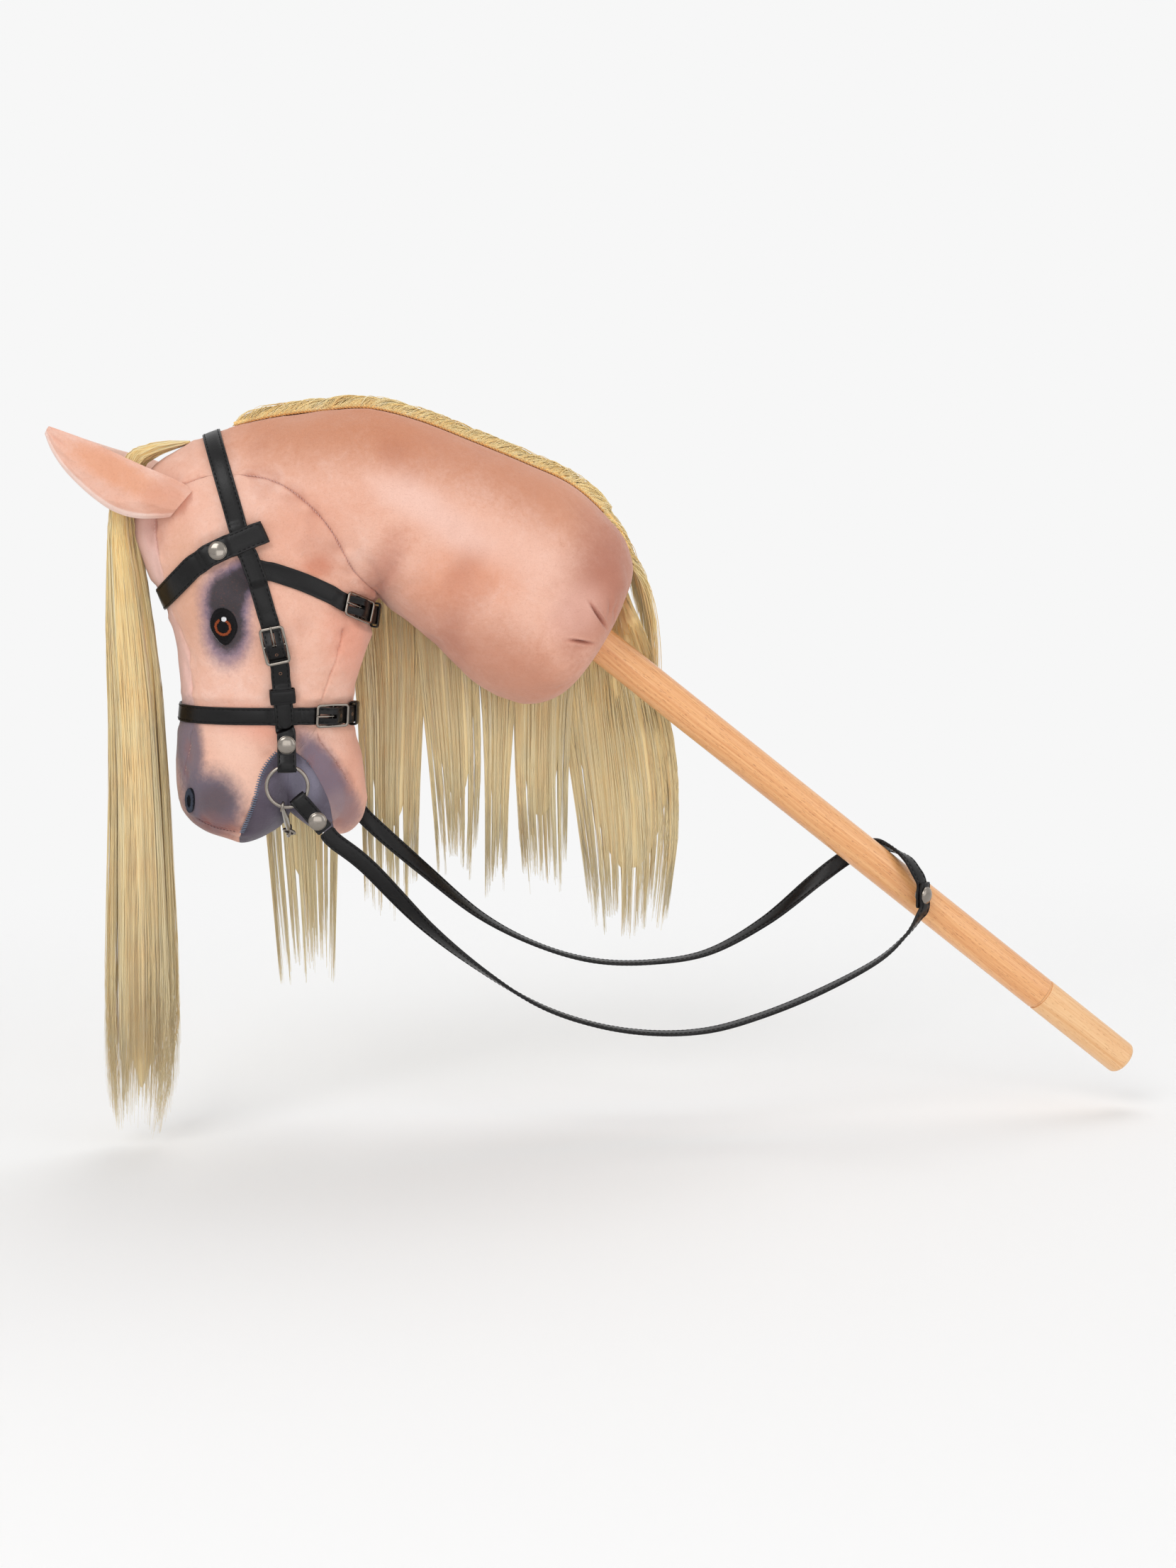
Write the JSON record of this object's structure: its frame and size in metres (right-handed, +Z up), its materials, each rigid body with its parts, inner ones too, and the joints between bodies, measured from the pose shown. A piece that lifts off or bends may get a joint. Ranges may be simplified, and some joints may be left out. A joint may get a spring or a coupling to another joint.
{
  "type": "hobby horse",
  "caption": "Stuffed horse head with mane and strap bridle on a round wooden stick, with a jointed bit, buckles and reins snapped round the stick.",
  "frame": {"origin": "on the stick's axis at the hand grip, 79 mm below the neck's collar", "axes": "head faces -X, the stick runs down towards +X, +Z is up, and the horse's left side is -Y"},
  "size_m": [0.7689, 0.1336, 0.5134],
  "materials": {
    "plush": "short-pile velour",
    "lining": "velvet",
    "eye_thread": "satin embroidery thread",
    "slate_thread": "embroidery thread",
    "hair": "combed synthetic hair",
    "leather": "glossy, edge stitched",
    "nickel": "bright nickel plate",
    "lacquered_beech": "satin lacquer",
    "plain_beech": "sanded, thin lacquer"
  },
  "bodies": {
    "toy": {"stick": "lacquered_beech", "neck": "plush", "head": "plush", "jaw": "plush", "upper_lip": "lining", "lower_lip": "lining", "ear_left": "plush", "ear_right": "plush", "eye_left": "eye_thread", "eye_right": "eye_thread", "nostril_left": "slate_thread", "nostril_right": "slate_thread", "forelock": "hair", "mane_track": "hair", "mane_crest": "hair", "mane_lock_1": "hair", "mane_lock_2": "hair", "mane_lock_3": "hair", "mane_lock_4": "hair", "mane_lock_5": "hair", "mane_lock_6": "hair", "crownpiece": "leather", "browband": "leather", "cheek_billet_left": "leather", "cheek_billet_right": "leather", "cheek_strap_left": "leather", "cheek_strap_right": "leather", "throatlatch_billet": "leather", "throatlatch": "leather", "noseband": "leather", "cheek_keeper_left": "leather", "cheek_keeper_right": "leather", "throatlatch_keeper": "leather", "noseband_keeper": "leather", "rein_loop_left": "leather", "rein_loop_right": "leather", "rein_left": "leather", "rein_right": "leather", "cheek_buckle_left": "nickel", "cheek_buckle_right": "nickel", "throatlatch_buckle": "nickel", "noseband_buckle": "nickel", "browband_snap_left": "nickel", "browband_snap_right": "nickel", "cheek_snap_left": "nickel", "cheek_snap_right": "nickel", "rein_snap_left": "nickel", "rein_snap_right": "nickel", "rein_end_snap": "nickel"},
    "ring_left": {"bit_ring_left": "nickel"},
    "ring_right": {"bit_ring_right": "nickel"},
    "bit": {"bit_arm_left": "nickel", "bit_arm_right": "nickel"},
    "end_piece": {"stick_end": "plain_beech"},
    "prong_cheek_left": {"cheek_prong_left": "nickel"},
    "prong_cheek_right": {"cheek_prong_right": "nickel"},
    "prong_throatlatch": {"throatlatch_prong": "nickel"},
    "prong_noseband": {"noseband_prong": "nickel"}
  },
  "joints": [
    {"name": "left_ring_turn", "type": "hinge", "parent": "toy", "child": "ring_left", "pos_m": [-0.2762, -0.04927, -0.0455], "axis": [0, 1, 0], "continuous": true},
    {"name": "right_ring_turn", "type": "hinge", "parent": "toy", "child": "ring_right", "pos_m": [-0.2762, 0.04927, -0.0455], "axis": [0, 1, 0], "continuous": true},
    {"name": "bit_swing", "type": "hinge", "parent": "toy", "child": "bit", "pos_m": [-0.2762, 0, -0.0455], "axis": [0, 1, 0], "range_deg": [-5, 1.5]},
    {"name": "end_piece_unscrew", "type": "hinge", "parent": "toy", "child": "end_piece", "pos_m": [0.26843, 0, -0.21352], "axis": [0.7826, 0, -0.6225], "continuous": true},
    {"name": "left_cheek_prong", "type": "hinge", "parent": "toy", "child": "prong_cheek_left", "pos_m": [-0.28291, -0.05621, 0.04918], "axis": [0.9772, -0.067, 0.2014], "range_deg": [0, 18]},
    {"name": "right_cheek_prong", "type": "hinge", "parent": "toy", "child": "prong_cheek_right", "pos_m": [-0.28291, 0.05621, 0.04918], "axis": [-0.9772, -0.067, -0.2014], "range_deg": [0, 18]},
    {"name": "throatlatch_prong", "type": "hinge", "parent": "toy", "child": "prong_throatlatch", "pos_m": [-0.22571, -0.03469, 0.07297], "axis": [0.2184, 0.2448, 0.9447], "range_deg": [0, 18]},
    {"name": "noseband_prong", "type": "hinge", "parent": "toy", "child": "prong_noseband", "pos_m": [-0.245, -0.03715, 0.00073], "axis": [0.0565, -0.0691, 0.996], "range_deg": [0, 18]}
  ]
}
